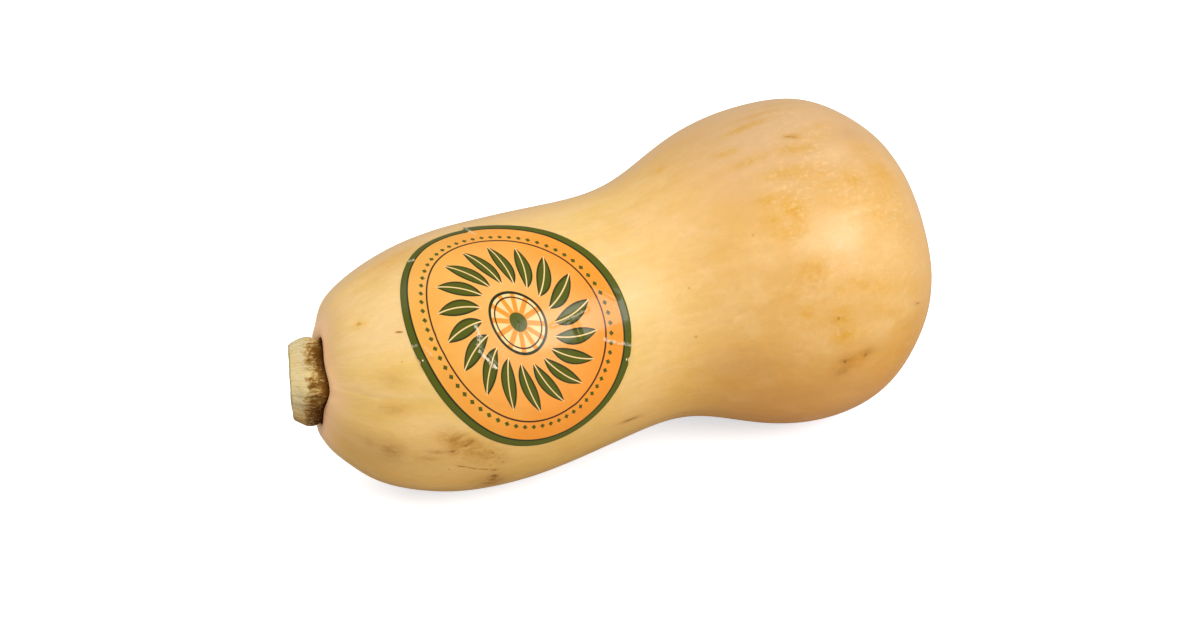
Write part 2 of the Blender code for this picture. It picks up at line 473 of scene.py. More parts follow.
GOLD_STAINS = (
    (157, 86, 9, 1.6, 0, 0.9),
    (164, 81, 12, 1.4, 0.1, 0.8),
    (172, 76, 10, 1.8, 0.1, 0.8),
    (146, 95, 3.4, 1.4, 0.2, 1),
    (178, 96.5, 9, 1.4, -0.2, 0.5),
    (151, 103, 8, 1.4, 0, 0.8),
    (168, 99, 3.4, 1.2, 0.25, 0.9),
    (10.1, 111, 2.2, 2.6, 0, 0.9),
    (16, 146, 9, 5, 0, 0.3),
    (17, 163, 8, 4, 0, 0.4),
    (30, 80, 14, 6, 0, 0.5),
    (34, 182, 9, 6, 0.4, 0.25),
    (126.6, 81, 1.6, 1.8, 0, 0.9),
    (145.5, 94.5, 4, 2, 0.2, 0.5),
    (167, 104.5, 9, 2.2, 0.1, 0.75),
    (176, 102, 8, 3, -0.2, 0.4),
    (160, 112.5, 9, 2.6, 0.1, 0.75),
    (168, 115.5, 8, 3, 0.1, 0.7),
    (172, 121, 12, 3, 0.1, 0.5),
    (146, 102, 12, 2, 0, 0.3),
    (151, 120.5, 4, 2.6, 0, 0.9),
    (149.8, 127, 2.8, 2.8, 0, 1),
    (157.5, 126, 4.6, 5, 0.3, 1),
    (153, 133.5, 8, 2, 0.1, 0.8),
    (170, 126, 8, 4, 0.1, 0.5),
    (181, 121, 4, 3.4, 0.1, 0.9),
    (193.5, 119, 6, 4.4, 0, 0.8),
    (191, 107, 7, 4, -0.2, 0.5),
    (195, 129, 7, 3, -0.2, 0.4),
    (186, 135.5, 5, 1.2, 0.1, 0.6),
    (159, 148.5, 8, 4.2, 0, 0.9),
    (148, 154, 6, 1.8, 0, 0.4),
    (165, 157, 4, 1.6, 0.2, 0.6),
    (152, 162, 1.9, 2, 0, 0.9),
    (163, 167, 4.6, 3.4, 0, 0.9),
    (164, 174.5, 5.4, 2.6, 0, 1),
    (168, 187, 9, 3.4, 0, 0.7),
    (176, 160, 14, 1.8, 0.45, 0.7),
    (184, 163, 14, 2.2, 0.5, 0.5),
    (193, 169, 8, 4, 0.5, 0.7),
    (182, 173, 12, 2.4, 0.5, 0.5),
    (190, 184, 12, 4, 0.3, 0.7),
    (186, 196, 14, 9, -0.2, 0.9),
)
# Pale stains, partly the skin's own paler patches and partly painted highlight: the broad cream patches
# on the bulb's lit side stand for the lamp's soft highlight
PALE_STAINS_AND_HIGHLIGHTS = (
    (172, 139, 11, 6, 0.1, 1),
    (174, 133.5, 12, 1.7, 0, 1),
    (185, 150, 11, 9, 0, 0.6),
    (158, 140, 9, 3.4, 0, 0.7),
    (142, 140, 14, 6, 0, 0.5),
    (178, 110, 6, 2.2, 0, 0.5),
    (176, 179, 7, 3, 0.2, 0.4),
    (14, 120, 14, 5, 0.2, 0.8),
    (14, 134, 14, 3.4, 0.1, 0.7),
    (17, 154.5, 10, 0.9, 0.1, 0.9),
    (24, 168, 12, 4, 0.2, 0.7),
    (14, 174, 12, 2, 0.1, 0.4),
    (28, 200, 14, 5, 0, 0.7),
    (52, 198, 14, 6, 0, 0.6),
    (187, 166, 9, 6, 0.4, 0.35),
    (192, 150, 10, 6, 0, 0.3),
    (96, 189, 9, 4, 0, 0.4),
    (10, 145, 8, 5, 0, 0.35),
)

STAINS = {
    "brown_stain": BROWN_STAINS,
    "stain_and_painted_shade": STAIN_AND_SHADE_PATCHES,
    "gold_stain": GOLD_STAINS,
    "pale_stain_and_highlight": PALE_STAINS_AND_HIGHLIGHTS,
}

# Small dark spots on the skin: station, angle in degrees, radius, strength
DARK_DOTS = (
    (117, 165, 0.6, 0.45),
    (118.5, 143, 0.45, 0.45),
    (142.5, 130.5, 0.45, 0.35),
    (162, 167, 0.6, 0.6),
    (163.3, 186, 0.6, 0.7),
    (170.8, 186, 0.6, 0.6),
    (10.1, 110.5, 0.9, 0.5),
    (20, 138, 0.4, 0.4),
    (12.5, 198.5, 0.4, 0.3),
    (29.3, 198.5, 0.4, 0.6),
    (30.5, 185.5, 0.8, 0.7),
    (34.5, 183, 0.6, 0.5),
    (36.5, 180.5, 0.5, 0.5),
    (37.5, 185.5, 0.5, 0.4),
    (39.5, 182.5, 0.4, 0.3),
    (40, 187, 0.45, 0.5),
    (42.5, 189.5, 0.5, 0.6),
    (40.5, 192.5, 0.4, 0.4),
    (44, 193.5, 0.4, 0.4),
    (41.5, 198, 0.5, 0.5),
    (45.5, 197.5, 0.5, 0.5),
    (47, 187.5, 0.4, 0.3),
    (33.5, 190.5, 0.4, 0.4),
    (43, 208, 0.9, 0.8),
)

# Healed scratches: station and angle in degrees of both ends, half width, strength
SCRATCHES = (
    (20, 122.3, 23.2, 123.4, 0.55, 1),
    (30.8, 195.5, 34.8, 197.2, 0.55, 1),
    (33.8, 197, 38.2, 199.8, 0.5, 0.9),
    (37, 199, 42, 202, 0.5, 0.8),
    (41.5, 201, 44, 203.4, 0.7, 0.7),
    (41, 213, 44.2, 209, 0.7, 0.7),
    (165.5, 97.6, 170, 100.2, 0.5, 0.6),
    (88.5, 200, 95, 201, 0.6, 0.6),
    (193, 176.6, 196, 179.4, 0.35, 0.6),
)


def arc_lengths(line):
    """How far along a line each of its points lies."""
    steps = np.linalg.norm(np.diff(line, axis=0), axis=1)
    return np.concatenate([[0.0], np.cumsum(steps)])


def points_along(line, arc, places):
    return np.stack([np.interp(places, arc, line[:, k]) for k in range(2)], -1)


def ring_values(first, values, last, sides):
    """A value for each point of a turned mesh: pole, the same all round each ring, pole."""
    return np.concatenate([[first], np.repeat(values, sides), [last]])


def ring_angles(rings, sides):
    """The angle of each point of a turned mesh: pole, rings, pole."""
    angles = np.arange(sides) * math.tau / sides
    return np.concatenate([[0.0], np.tile(angles, rings), [0.0]])


def fruit_rings():
    """(station, radius) of the rings of the fruit's mesh, spaced along the profile."""
    fine = fruit_profile(FINE_STEPS)
    arc = arc_lengths(fine)
    near = np.arange(FINE_RING, NEAR_STEM, FINE_RING)
    wide = np.arange(NEAR_STEM, arc[-1] - FINE_RING, WIDE_RING)
    places = np.concatenate([[0.0], near, wide, arc[-1:]])
    return points_along(fine, arc, places)


def fruit_points():
    """Station, radius and angle of each point of the fruit's mesh: pole, rings, pole."""
    rings = fruit_rings()
    inner = rings[1:-1]
    station = ring_values(rings[0, 0], inner[:, 0], rings[-1, 0], FRUIT_SIDES)
    radius = ring_values(0.0, inner[:, 1], 0.0, FRUIT_SIDES)
    return station, radius, ring_angles(len(inner), FRUIT_SIDES)


def make_fruit():
    station, radius, angle = fruit_points()
    place = skin_place(station, angle)
    share = np.minimum(radius / NECK_RADIUS, 1.0)
    relief = (solid_relief(station, angle) + fine_relief(station, angle)) * share
    beyond_stem = radius - stem_outline(angle)
    by_stem = bump(np.maximum(station, 0.0), BY_STEM_REACH)
    swell = SWELL_HEIGHT * bump(beyond_stem - SWELL_PLACE, SWELL_WIDTH)
    swell *= 1.0 + 0.5 * noise_at(place, SWELL_PATCH, 5.0)
    crease = CREASE_DEPTH * bump(beyond_stem, CREASE_WIDTH)
    scar = np.where(station > BULB_END, bump(radius, SCAR_RADIUS), 0.0)
    sunk = (crease - swell) * by_stem - SCAR_DEPTH * scar
    points = laid_down(polar(station + sunk, radius + relief, angle))
    mesh = turned_mesh("squash_skin", points, FRUIT_SIDES, True, False)
    add_attribute(mesh, "skin_place", place)
    add_attribute(mesh, "beyond_stem", np.where(station < STEM_END, beyond_stem, FAR_AWAY))
    add_attribute(mesh, "beyond_scar", np.where(station > BULB_END, radius, FAR_AWAY))
    for name, spots in STAINS.items():
        add_attribute(mesh, name, spots_mask(station, angle, spots))
    return add_piece(mesh, skin_material(), "fruit")


def stem_rings():
    """(distance from the seat, radius) of the stem's rings, from inside the fruit to the pith."""
    first, last = STEM_PROFILE[0], STEM_PROFILE[-1]
    flank = smooth_curve((first, first, *STEM_PROFILE, last, last), 8)
    foot = np.array(
        [
            (-STEM_SKIRT, first[1] - SKIRT_INSET),
            (-STEM_SKIRT * 0.5, first[1] - SKIRT_INSET * 0.2),
        ]
    )
    rim = flank[-1, 1]
    cut = np.array(
        [
            (STEM_LENGTH - CUT_EDGE * 0.3, rim - CUT_EDGE * 0.3),
            (STEM_LENGTH, rim - CUT_EDGE),
            (STEM_LENGTH, PITH_RADIUS + 0.3),
            (STEM_LENGTH - 0.3, PITH_RADIUS),
            (STEM_LENGTH - PITH_DEPTH, PITH_RADIUS * 0.75),
            (STEM_LENGTH - PITH_DEPTH - 0.2, 0.4),
        ]
    )
    line = np.vstack([foot, flank, cut])
    arc = arc_lengths(line)
    return points_along(line, arc, np.arange(0.0, arc[-1], STEM_RING))


def make_stem():
    rings = stem_rings()
    along = ring_values(rings[0, 0], rings[:, 0], rings[-1, 0], STEM_SIDES)
    radius = ring_values(0.0, rings[:, 1], 0.0, STEM_SIDES)
    angle = ring_angles(len(rings), STEM_SIDES)
    grain = polar(along, STEM_RADIUS, angle)
    on_cut = np.clip((along - STEM_LENGTH + 1.0) * 2.0, 0.0, 1.0) * (radius < CUT_INNER)
    ridge = stem_ridge(angle)
    widest = max(point[1] for point in STEM_PROFILE)
    share = np.minimum(radius / widest, 1.0) ** 2
    foot = ridge_foot(angle) * bump(along, FOOT_REACH)
    bark = noise_relief(grain, STEM_BARK)
    valley = VALLEY_DEPTH * bump(ridge + 1.0, VALLEY_WIDTH) * bump(along - VALLEY_MIDDLE, VALLEY_REACH)
    radius = radius + (STEM_RIDGE_HEIGHT * ridge + foot + bark - valley) * share
    face = polar(np.zeros(len(radius)), radius, angle)
    slant = along / STEM_LENGTH * CUT_SLOPE * (face @ CUT_LONG_SIDE)
    station = STEM_SEAT - along - slant - noise_relief(face, CUT_GRAIN) * on_cut + FOOT_SINK * foot
    points = laid_down(polar(station, radius, angle))
    mesh = turned_mesh("squash_stem", points, STEM_SIDES, True, True)
    add_attribute(mesh, "grain", grain)
    # Painted shade: the stem is browner in the valleys between its ridges, at the heel of the ridge on
    # the sticker's side and along its underside
    heel = bump(angle - STEM_RIDGE_ANGLE, FOOT_WIDTH)
    underside = bump(angle - UNDERSIDE_ANGLE, UNDERSIDE_WIDTH)
    add_attribute(mesh, "browner_in_shade", 0.25 - 0.25 * ridge + 1.2 * heel + 1.6 * underside)
    add_attribute(mesh, "cut_place", np.stack([on_cut, radius, angle], -1))
    return add_piece(mesh, stem_material(), "stem")


def segment_distance(across, up, start, end):
    """Distance from each point of the sticker to a straight line between two points of it."""
    run = np.array(end) - start
    share = ((across - start[0]) * run[0] + (up - start[1]) * run[1]) / (run @ run)
    share = np.clip(share, 0.0, 1.0)
    return np.hypot(across - start[0] - share * run[0], up - start[1] - share * run[1])


# Creases of the sticker: two ends, width, height and how much of the ink is worn off
STICKER_CREASES = (
    ((-12.7, -6.5), (-13.9, -3.0), 0.6, 0.35, 0.75),
    ((-13.9, -3.0), (-16.0, -0.5), 0.6, 0.35, 0.5),
    ((-16.4, 1.0), (-15.9, 4.0), 0.8, 0.45, 1.0),
    ((-15.9, 4.0), (-14.6, 8.4), 0.9, 0.50, 1.0),
    ((-29.3, -9.7), (-22.9, -12.8), 0.7, 0.40, 0.0),
    ((-30.9, -9.6), (-30.4, -5.3), 0.6, 0.35, 0.3),
    ((-29.9, -5.4), (-25.0, -3.6), 1.2, 0.35, 0.0),
    ((-34.6, -12.2), (-32.6, -11.5), 0.5, 0.25, 0.5),
    ((-16.0, -43.0), (-12.6, -40.8), 0.4, 0.25, 0.45),
    ((10.9, -46.0), (10.6, -38.0), 0.5, 0.45, 0.3),
    ((8.6, 7.3), (20.9, 9.5), 0.7, 0.35, 0.25),
    ((15.5, 10.5), (13.5, 20.9), 0.9, 0.35, 0.0),
    ((20.9, 21.6), (27.6, 29.4), 0.45, 0.35, 0.45),
    ((27.5, 4.0), (31.5, 12.0), 0.9, 0.30, 0.0),
    ((4.0, 20.0), (2.0, 38.0), 1.6, 0.25, 0.0),
    ((-22.0, 14.0), (-8.0, 30.0), 1.8, 0.20, 0.0),
)

# Nicks in the sticker's edge: a point of the edge, depth and half width
STICKER_NICKS = (
    ((24.2, 32.7), 1.0, 0.7),
    ((-34.2, -5.9), 1.0, 0.7),
)

# Pleat at the sticker's top, where the edge steps outward
PLEAT_ACROSS = 10.9
PLEAT_DEPTH = 1.7
PLEAT_RUN = 9.0
PLEAT_WIDTH = 3.0
NICK_CURL = 0.5
FAR_FROM_CREASE = 9.0


def sticker_grid():
    """Each point of the sticker: how far out it is, from 0 to 1, and at which angle."""
    rings = np.arange(1, STICKER_RINGS + 1) / STICKER_RINGS
    out = ring_values(0.0, rings, 0.0, STICKER_SIDES)[:-1]
    return out, ring_angles(STICKER_RINGS, STICKER_SIDES)[:-1]


def creases_at(across, up):
    """At each point: lift, distance to the nearest worn crease, and the wear of that crease."""
    lift = np.zeros(len(across))
    nearest = np.full(len(across), FAR_FROM_CREASE)
    wear_there = np.zeros(len(across))
    for start, end, width, height, wear in STICKER_CREASES:
        distance = segment_distance(across, up, start, end)
        lift += height * bump(distance, width)
        if wear > 0.0:
            wear_there = np.where(distance < nearest, wear, wear_there)
            nearest = np.minimum(nearest, distance)
    return lift, nearest, wear_there


def nicks_at(across, up, edge):
    """At each point: lift, how torn the paper is, and how deep the edge is cut."""
    lift, torn, cut = np.zeros((3, len(across)))
    for place, depth, half_width in STICKER_NICKS:
        distance = np.hypot(across - place[0], up - place[1])
        lift += NICK_CURL * bump(distance, 3.0) * bump(edge, 2.0)
        torn = np.maximum(torn, bump(distance, half_width))
        cut = np.maximum(cut, depth * np.maximum(1.0 - distance / (half_width * 2.0), 0.0))
    return lift, torn, cut


def outline_scale(across, up, edge, turn, cut):
    """What the egg shape, the nicks and the pleat scale each point of the oval by."""
    egg = 1.0 + STICKER_EGG * np.cos(3.0 * turn - STICKER_EGG_TURN)
    beyond_pleat = np.maximum(across - PLEAT_ACROSS, 0.0)
    pleat = PLEAT_DEPTH * bump(beyond_pleat, PLEAT_RUN) * (across > PLEAT_ACROSS) * (up < 0.0)
    inward = cut * bump(edge, 1.0) / STICKER_HALF_WIDTH
    outward = pleat * bump(edge, PLEAT_WIDTH) / STICKER_HALF_HEIGHT
    return egg * (1.0 - inward + outward)


def neck_radius(station):
    """The fruit's radius, from its stem end to the widest part of the bulb."""
    profile = fruit_profile(FINE_STEPS)
    neck = profile[profile[:, 0].argmin() : profile[:, 1].argmax()]
    return np.interp(station, neck[:, 0], neck[:, 1])


def make_sticker():
    out, turn = sticker_grid()
    across = STICKER_HALF_WIDTH * out * np.cos(turn)
    up = STICKER_HALF_HEIGHT * out * np.sin(turn)
    slope = np.hypot(across / STICKER_HALF_WIDTH**2, up / STICKER_HALF_HEIGHT**2)
    edge = (1.0 - out) * out / np.maximum(slope, 1e-6)
    waves = STICKER_WAVE * (1.0 + noise_at(np.stack([across, up, out], -1), STICKER_WAVE_SIZE))
    crease_lift, nearest, wear = creases_at(across, up)
    nick_lift, torn, cut = nicks_at(across, up, edge)
    scale = outline_scale(across, up, edge, turn, cut)
    along = (across * math.cos(STICKER_TURN) - up * math.sin(STICKER_TURN)) * scale
    around = (across * math.sin(STICKER_TURN) + up * math.cos(STICKER_TURN)) * scale
    station = STICKER_STATION + along
    angle = STICKER_ANGLE + around / NECK_RADIUS
    radius = neck_radius(station) + solid_relief(station, angle) + fine_relief(station, angle)
    radius += STICKER_LIFT + waves + crease_lift + nick_lift
    points = laid_down(polar(station, radius, angle))
    mesh = turned_mesh("paper_sticker", points, STICKER_SIDES, False, True)
    add_attribute(mesh, "print_place", np.stack([across, up, edge], -1))
    add_attribute(mesh, "crease", np.stack([nearest, wear, torn], -1))
    piece = add_piece(mesh, paper_material(), "sticker")
    thickness = piece.modifiers.new("thickness", "SOLIDIFY")
    thickness.thickness = STICKER_THICKNESS * MM
    thickness.offset = 1.0
    return piece


class Finish:
    """A material and short calls that add shader nodes to it."""

    def __init__(self, name):
        self.material = bpy.data.materials.new(name)
        self.material.use_nodes = True
        self.tree = self.material.node_tree
        self.shader = self.tree.nodes["Principled BSDF"]

    def set(self, socket, value):
        if isinstance(value, bpy.types.NodeSocket):
            self.tree.links.new(value, socket)
        else:
            socket.default_value = value

    def shade(self, **inputs):
        """Sets the surface's own inputs. Spaces in their names are written as underscores."""
        for name, value in inputs.items():
            self.set(self.shader.inputs[name.replace("_", " ")], value)

    def node(self, kind, inputs, **settings):
        made = self.tree.nodes.new("ShaderNode" + kind)
        for name, value in settings.items():
            setattr(made, name, value)
        for key, value in inputs.items():
            self.set(made.inputs[key], value)
        return made

    def attribute(self, name, output="Fac"):
        made = self.node("Attribute", {}, attribute_type="GEOMETRY", attribute_name=name)
        return made.outputs[output]

    def object_place(self):
        """Where a point lies, in metres."""
        return self.node("TexCoord", {}).outputs["Object"]

    def height(self):
        """Height above the table, in metres."""
        return self.parts(self.object_place())[2]

    def math(self, operation, *values):
        return self.node("Math", dict(enumerate(values)), operation=operation).outputs[0]

    def times(self, first, second):
        return self.math("MULTIPLY", first, second)

    def plus(self, first, second):
        return self.math("ADD", first, second)

    def minus(self, first, second):
        return self.math("SUBTRACT", first, second)

    def larger(self, first, second):
        return self.math("MAXIMUM", first, second)

    def distance(self, first, second):
        """How far apart two numbers are."""
        return self.math("ABSOLUTE", self.minus(first, second))

    def vector(self, operation, *values):
        made = self.node("VectorMath", dict(enumerate(values)), operation=operation)
        return made.outputs["Value" if operation in ("LENGTH", "DISTANCE") else "Vector"]

    def scaled(self, vector, amount):
        return self.vector("MULTIPLY", vector, (amount, amount, amount))

    def parts(self, vector):
        return self.node("SeparateXYZ", {0: vector}).outputs

    def share(self, value, low, high, start=0.0, end=1.0):
        """Runs smoothly from start to end as the value goes from low to high."""
        inputs = {"Value": value, "From Min": low, "From Max": high, "To Min": start, "To Max": end}
        return self.node("MapRange", inputs, interpolation_type="SMOOTHSTEP").outputs[0]

    def mix(self, share, first, second, blend="MIX"):
        made = self.node("Mix", {}, data_type="RGBA", blend_type=blend)
        for key, value in ((0, share), (6, first), (7, second)):
            self.set(made.inputs[key], value)
        return made.outputs[2]

    def tinted(self, share, tone, tint):
        """Multiplies a colour by a tint, as far as the share says."""
        return self.mix(share, tone, tint, "MULTIPLY")

    def noise(self, place, size, detail=2.0, roughness=0.5, seed=0.0, stretch=1.0):
        """Noise from 0 to 1: size of its features in millimetres, and stretch along the first axis."""
        scale = (1.0 / (size * stretch), 1.0 / size, 1.0 / size)
        moved = self.vector("ADD", self.vector("MULTIPLY", place, scale), (seed, seed, seed))
        inputs = {"Vector": moved, "Scale": 1.0, "Detail": detail, "Roughness": roughness}
        return self.node("TexNoise", inputs).outputs[0]

    def bumps(self, height, depth, strength):
        """A surface normal from a height, where 1 stands this many millimetres out."""
        inputs = {"Height": height, "Distance": depth * MM, "Strength": strength}
        return self.node("Bump", inputs).outputs[0]


def colour(red, green, blue):
    return (red, green, blue, 1.0)


def place_on_skin(station, degrees):
    return Vector(skin_place(station, math.radians(degrees)))


def dots_share(finish, place):
    """Up to 1 inside the small dark spots, 0 outside."""
    total = 0.0
    for station, degrees, radius, strength in DARK_DOTS:
        distance = finish.vector("DISTANCE", place, place_on_skin(station, degrees))
        spot = finish.share(distance, radius * 1.5, radius * 0.2, 0.0, strength)
        total = finish.larger(spot, total)
    return total


SCRATCH_HALF_DEPTH = 4.0


def scratches_share(finish, place):
    """Up to 1 along the healed scratches, which are long thin ovals."""
    total = 0.0
    for station, degrees, far_station, far_degrees, half_width, strength in SCRATCHES:
        start = place_on_skin(station, degrees)
        end = place_on_skin(far_station, far_degrees)
        middle = (start + end) / 2
        run = (end - start).normalized()
        outward = Vector((0.0, middle.y, middle.z)).normalized()
        side = outward.cross(run).normalized()
        axes = Matrix((run, side, run.cross(side))).transposed()
        inputs = {
            "Vector": place,
            "Location": middle,
            "Rotation": axes.to_euler(),
            "Scale": ((end - start).length / 2, half_width, SCRATCH_HALF_DEPTH),
        }
        local = finish.node("Mapping", inputs, vector_type="TEXTURE").outputs[0]
        inside = finish.share(finish.vector("LENGTH", local), 1.1, 0.3, 0.0, strength)
        total = finish.larger(inside, total)
    return total


NECK_BUFF = colour(0.83, 0.54, 0.205)
NECK_YELLOW = colour(0.80, 0.52, 0.16)
BULB_PEACH = colour(0.75, 0.435, 0.135)
BULB_ORANGE = colour(0.74, 0.41, 0.105)
SKIN_CREAM = colour(0.88, 0.605, 0.285)
TOP_SHADE_TAN = colour(0.67, 0.41, 0.19)
SKIN_PINK = colour(0.94, 0.56, 0.31)
RIM_REFLECTION_PINK = colour(0.73, 0.445, 0.20)
# Painted shadow in the crease round the stem
CREASE_SHADOW_RED = colour(0.09, 0.022, 0.008)
SCAR_BROWN = colour(0.27, 0.13, 0.035)

# What stains and painted shade multiply the skin's colour by, at their strongest
GOLD_TINT = colour(0.93, 0.81, 0.24)
BROWN_TINT = colour(0.49, 0.335, 0.16)
SHADE_TINT = colour(0.86, 0.78, 0.68)
NECK_LOW_SHADE_TINT = colour(0.87, 0.75, 0.40)
BULB_LOW_SHADE_TINT = colour(0.95, 0.76, 0.50)

# Where the skin changes: from and to, as stations along the fruit
NECK_TO_BULB = (90.0, 150.0)
TO_SPECKLES = (142.0, 160.0)

# Where the skin changes: from and to, as heights above the table in metres
# Painted shade: the top of the bulb turns a darker, pinker tan from this height up
TO_SHADED_TOP = (0.092, 0.112)
TO_SPECKLED_TOP = (0.062, 0.082)
# Painted shade: the skin darkens from this height down to the table
TO_SHADED_LOW_SIDE = (0.070, 0.010)
# Painted reflection: a pinkish sheen on the rims from this height up
TO_REFLECTING_RIM = (0.05, 0.085)

# Patterns of the skin: size in millimetres, detail, roughness, seed and stretch along the fruit
SKIN_PATCHES = (30.0, 2.0)
SKIN_CLOUDS = (9.0, 4.0, 0.6, 1.0, 1.6)
NECK_STREAKS = (6.0, 3.0, 0.55, 2.0, 9.0)
GOLD_MOTTLES = (1.9, 4.0, 0.7, 4.0, 2.0)
BROWN_MOTTLES = (2.2, 5.0, 0.75, 8.0, 1.8)
SPECKLES = (1.0, 3.0, 0.6, 3.0, 1.8)
SPECKLE_PATCHES = (14.0, 1.0, 0.5, 6.0)
SCRATCH_GAPS = (1.6, 2.0)
FINE_SHADING = (2.0, 4.0, 0.65, 9.0, 1.8)
FINE_GRAIN = (1.1, 3.0, 0.6, 0.0, 1.6)
SWAY_SCALE = 0.12
SWAY_AMOUNT = 9.0
MARK_SWAY = 0.12


class SkinFinish(Finish):
    """The skin's material, with the patterns that several of its layers share."""

    def __init__(self):
        super().__init__("squash_skin")
        self.place = self.attribute("skin_place", "Vector")
        self.station = self.parts(self.place)[0]
        self.above_floor = self.height()
        inputs = {"Vector": self.place, "Scale": SWAY_SCALE, "Detail": 2.0}
        sway = self.node("TexNoise", inputs).outputs["Color"]
        self.sway = self.scaled(self.vector("SUBTRACT", sway, (0.5, 0.5, 0.5)), SWAY_AMOUNT)
        self.swayed = self.vector("ADD", self.place, self.sway)
        self.on_bulb = self.share(self.station, *NECK_TO_BULB)
        self.clouds = self.noise(self.swayed, *SKIN_CLOUDS)

    def ground(self):
        """Buff neck with lengthwise streaks and peach bulb, with gold and cream clouds, and a darker tan
        top of the bulb that is painted shade.
        """
        patches = self.share(self.noise(self.swayed, *SKIN_PATCHES), 0.36, 0.64)
        streaks = self.share(self.noise(self.place, *NECK_STREAKS), 0.48, 0.72, 0.0, 0.45)
        neck = self.mix(streaks, self.mix(patches, NECK_BUFF, NECK_YELLOW), SKIN_CREAM)
        bulb = self.mix(patches, BULB_PEACH, BULB_ORANGE)
        tone = self.mix(self.on_bulb, neck, bulb)
        tone = self.tinted(self.share(self.clouds, 0.46, 0.70, 0.0, 0.2), tone, GOLD_TINT)
        tone = self.mix(self.share(self.clouds, 0.46, 0.28, 0.0, 0.3), tone, SKIN_CREAM)
        # Painted shade on top of the bulb
        on_top = self.times(self.share(self.above_floor, *TO_SHADED_TOP), self.on_bulb)
        return self.mix(on_top, tone, TOP_SHADE_TAN)

    def stained(self, tone):
        """Mottled gold stains, soft darker patches that are partly painted shade, pale stains that are
        partly painted highlight, and pale speckles on top of the bulb.
        """
        broken = self.share(self.noise(self.swayed, *GOLD_MOTTLES), 0.34, 0.54, 0.3, 1.0)
        tone = self.tinted(self.times(self.attribute("gold_stain"), broken), tone, GOLD_TINT)
        # Soft darker patches, partly painted shade low on the fruit
        tone = self.tinted(self.attribute("stain_and_painted_shade"), tone, SHADE_TINT)
        # Pale stains, partly painted highlight
        faded = self.share(self.clouds, 0.3, 0.6, 0.7, 0.42)
        tone = self.mix(self.times(self.attribute("pale_stain_and_highlight"), faded), tone, SKIN_CREAM)
        speckles = self.share(self.noise(self.place, *SPECKLES), 0.48, 0.74, 0.0, 0.42)
        patches = self.share(self.noise(self.place, *SPECKLE_PATCHES), 0.42, 0.6, 0.3, 1.0)
        on_bulb = self.share(self.station, *TO_SPECKLES)
        on_top = self.times(on_bulb, self.share(self.above_floor, *TO_SPECKLED_TOP))
        return self.mix(self.times(speckles, self.times(patches, on_top)), tone, SKIN_CREAM)

    def shaded(self, tone, shading):
        """Painted shade low down: the colour turns darker and browner towards the table. And a slight
        shading all over.
        """
        # Painted shade: darker and browner towards the table
        low = self.share(self.above_floor, *TO_SHADED_LOW_SIDE)
        tone = self.tinted(low, tone, self.mix(self.on_bulb, NECK_LOW_SHADE_TINT, BULB_LOW_SHADE_TINT))
        grey = self.share(shading, 0.25, 0.75, 0.96, 1.035)
        shade = self.node("CombineColor", {0: grey, 1: grey, 2: grey}).outputs[0]
        return self.tinted(1.0, tone, shade)

    def at_edges(self, tone, beyond_stem):
        """Painted reflection: pinkish where the upper skin turns away. Pink at the stem with a painted
        shadow in its crease, and a brown scar.
        """
        # Painted reflection: a pinkish sheen where the skin turns away from the camera, high on the
        # fruit
        facing = self.node("LayerWeight", {"Blend": 0.5}).outputs["Facing"]
        grazing_sheen = self.share(facing, 0.4, 0.95, 0.0, 0.7)
        high = self.share(self.above_floor, *TO_REFLECTING_RIM)
        tone = self.mix(self.times(grazing_sheen, high), tone, RIM_REFLECTION_PINK)
        tone = self.mix(self.share(beyond_stem, 14.0, 1.0, 0.0, 0.8), tone, SKIN_PINK)
        # Painted shadow: dark red-brown in the crease where the stem meets the skin
        tone = self.mix(self.share(beyond_stem, 0.6, 0.1), tone, CREASE_SHADOW_RED)
        ragged = self.share(self.clouds, 0.3, 0.7, -1.2, 1.2)
        beyond_scar = self.plus(self.attribute("beyond_scar"), ragged)
        on_scar = self.share(beyond_scar, SCAR_RADIUS, SCAR_RADIUS * 0.4, 0.0, 0.9)
        return self.mix(on_scar, tone, SCAR_BROWN)


def skin_material():
    """Satin skin with stains, speckles, dark spots and healed scratches, matt where it is marked, and
    with painted shade, highlight and reflection.
    """
    skin = SkinFinish()
    shading = skin.noise(skin.place, *FINE_SHADING)
    tone = skin.shaded(skin.stained(skin.ground()), shading)
    mottles = skin.share(skin.noise(skin.swayed, *BROWN_MOTTLES), 0.32, 0.62, 0.3, 1.0)
    stain = skin.times(skin.attribute("brown_stain"), mottles)
    tone = skin.tinted(stain, tone, BROWN_TINT)
    ragged = skin.vector("ADD", skin.place, skin.scaled(skin.sway, MARK_SWAY))
    gaps = skin.share(skin.noise(skin.place, *SCRATCH_GAPS), 0.3, 0.55, 0.4, 1.0)
    scratches = skin.times(scratches_share(skin, ragged), gaps)
    dots = dots_share(skin, ragged)
    marks = skin.larger(scratches, dots)
    tone = skin.tinted(marks, tone, BROWN_TINT)
    beyond_stem = skin.attribute("beyond_stem")
    sound = skin.share(skin.larger(marks, stain), 0.0, 0.8, 1.0, 0.2)
    relief = skin.minus(skin.noise(skin.place, *FINE_GRAIN), skin.plus(scratches, dots))
    skin.shade(
        Base_Color=skin.at_edges(tone, beyond_stem),
        Roughness=skin.share(shading, 0.2, 0.8, 0.36, 0.5),
        Specular_IOR_Level=skin.times(skin.share(beyond_stem, 0.6, 2.4, 0.0, 0.42), sound),
        Subsurface_Weight=0.12,
        Subsurface_Radius=(1.0, 0.45, 0.2),
        Subsurface_Scale=0.004,
        Coat_Weight=0.05,
        Coat_Roughness=0.4,
        Normal=skin.bumps(relief, 0.12, 0.6),
    )
    return skin.material


